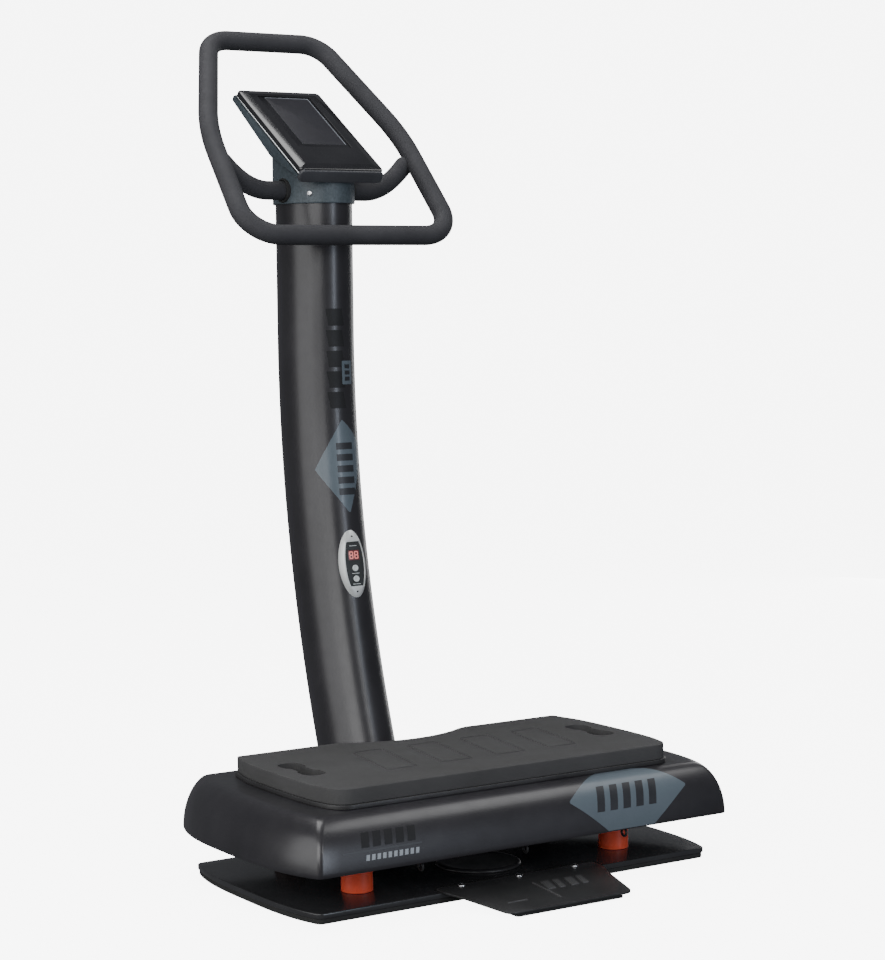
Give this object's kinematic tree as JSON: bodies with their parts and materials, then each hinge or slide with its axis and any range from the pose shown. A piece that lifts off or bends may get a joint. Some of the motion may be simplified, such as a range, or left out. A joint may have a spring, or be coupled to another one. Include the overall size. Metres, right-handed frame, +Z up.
{
  "type": "vibration plate",
  "caption": "Whole-body vibration plate: sprung platform with a foam mat on a flat base, and a leaning oval column with a hexagonal grab loop and tilted console.",
  "frame": {"origin": "on the floor under the middle of the platform, on the underside of the rubber underlay", "axes": "+X to the user's right when facing the console, +Y from the user towards the column, +Z up"},
  "size_m": [0.909, 1.0187, 1.5183],
  "materials": {
    "gloss_black": "mirror-gloss black lacquer",
    "satin_black": "satin black powder coat",
    "column_black": "satin-gloss black paint",
    "cover_black": "gloss black moulded plastic",
    "console_black": "gloss black",
    "rubber_black": "matte rubber",
    "wheel_rubber": "matte rubber",
    "mat_foam": "matte dense foam",
    "grip_foam": "matte foam sleeve",
    "buffer_red": "smooth polyurethane",
    "buffer_dark": "dark red-brown rubber",
    "shell_grey": "grained blue-grey",
    "trim_silver": "satin silver plating",
    "bolt_silver": "zinc plated",
    "screen_glass": "dark display window",
    "panel_dark": "fine matte",
    "led_red": "lit red digits behind a window",
    "button_white": "soft white",
    "switch_red": "gloss red",
    "motor_grey": "cast, bead blasted",
    "steel": "machined",
    "board_green": "potted circuit board"
  },
  "bodies": {
    "base": {"base_plate": "gloss_black", "base_rubber": "rubber_black", "step_plate": "satin_black", "step_rubber": "rubber_black", "step_bolt_left": "bolt_silver", "step_bolt_centre": "bolt_silver", "step_bolt_right": "bolt_silver", "base_disc": "gloss_black", "buffer_front_left": "buffer_red", "buffer_front_right": "buffer_red", "buffer_rear_left": "buffer_dark", "buffer_rear_right": "buffer_dark", "column": "column_black", "column_foot": "satin_black", "foot_bolt_front_left": "bolt_silver", "foot_bolt_front_right": "bolt_silver", "foot_bolt_rear_left": "bolt_silver", "foot_bolt_rear_right": "bolt_silver", "drive_unit": "board_green", "handlebar_loop": "grip_foam", "handlebar_arm": "grip_foam", "console_bezel": "console_black", "console_screen": "screen_glass", "console_trim": "trim_silver", "console_shell": "shell_grey", "neck_housing": "shell_grey", "arm_collar_left": "rubber_black", "arm_collar_right": "rubber_black", "neck_screw": "bolt_silver", "panel_bezel": "trim_silver", "panel_insert": "panel_dark", "panel_display": "led_red", "wheel_bracket_left": "satin_black", "wheel_bracket_right": "satin_black", "wheel_axle": "steel", "power_inlet": "panel_dark"},
    "platform": {"platform_cover": "cover_black", "top_plate": "satin_black", "under_frame": "satin_black", "motor_housing_left": "motor_grey", "motor_housing_right": "motor_grey", "motor_cap_front_left": "motor_grey", "motor_cap_rear_left": "motor_grey", "motor_cap_front_right": "motor_grey", "motor_cap_rear_right": "motor_grey", "motor_bearing_front_left": "steel", "motor_bearing_rear_left": "steel", "motor_bearing_front_right": "steel", "motor_bearing_rear_right": "steel", "eye_hook_left": "steel", "eye_hook_centre": "steel", "eye_hook_right": "steel"},
    "loose_mat": {"mat": "mat_foam"},
    "rotor_left": {"motor_rotor_left": "steel"},
    "rotor_right": {"motor_rotor_right": "steel"},
    "button_upper": {"panel_button_upper": "button_white"},
    "button_lower": {"panel_button_lower": "button_white"},
    "rocker": {"power_switch": "switch_red"},
    "wheel_left": {"transport_wheel_left": "wheel_rubber"},
    "wheel_right": {"transport_wheel_right": "wheel_rubber"}
  },
  "joints": [
    {"name": "platform_shake", "type": "slide", "parent": "base", "child": "platform", "axis": [0, 0, 1], "range_m": [-0.0025, 0.0025], "stiffness_N_per_m": 400000, "springref_m": 0.00124, "deforming": ["buffer_front_left", "buffer_front_right", "buffer_rear_left", "buffer_rear_right"]},
    {"name": "mat_lift", "type": "slide", "parent": "platform", "child": "loose_mat", "axis": [0, 0, 1], "range_m": [0, 0.12]},
    {"name": "rotor_left_spin", "type": "hinge", "parent": "platform", "child": "rotor_left", "pos_m": [-0.112, 0, 0.122], "axis": [0, 1, 0], "continuous": true},
    {"name": "rotor_right_spin", "type": "hinge", "parent": "platform", "child": "rotor_right", "pos_m": [0.112, 0, 0.122], "axis": [0, 1, 0], "continuous": true},
    {"name": "button_upper_press", "type": "slide", "parent": "base", "child": "button_upper", "axis": [0, 0.9827, -0.185], "range_m": [0, 0.0015], "stiffness_N_per_m": 400},
    {"name": "button_lower_press", "type": "slide", "parent": "base", "child": "button_lower", "axis": [0, 0.9827, -0.185], "range_m": [0, 0.0015], "stiffness_N_per_m": 400},
    {"name": "power_rock", "type": "hinge", "parent": "base", "child": "rocker", "pos_m": [0, 0.41663, 0.14465], "axis": [1, 0, 0], "range_deg": [-8, 8]},
    {"name": "wheel_left_roll", "type": "hinge", "parent": "base", "child": "wheel_left", "pos_m": [-0.14, 0.419, 0.036], "axis": [1, 0, 0], "continuous": true},
    {"name": "wheel_right_roll", "type": "hinge", "parent": "base", "child": "wheel_right", "pos_m": [0.14, 0.419, 0.036], "axis": [1, 0, 0], "continuous": true}
  ],
  "couplings": [
    {"joint": "rotor_right_spin", "follows": "rotor_left_spin", "ratio": -1}
  ]
}
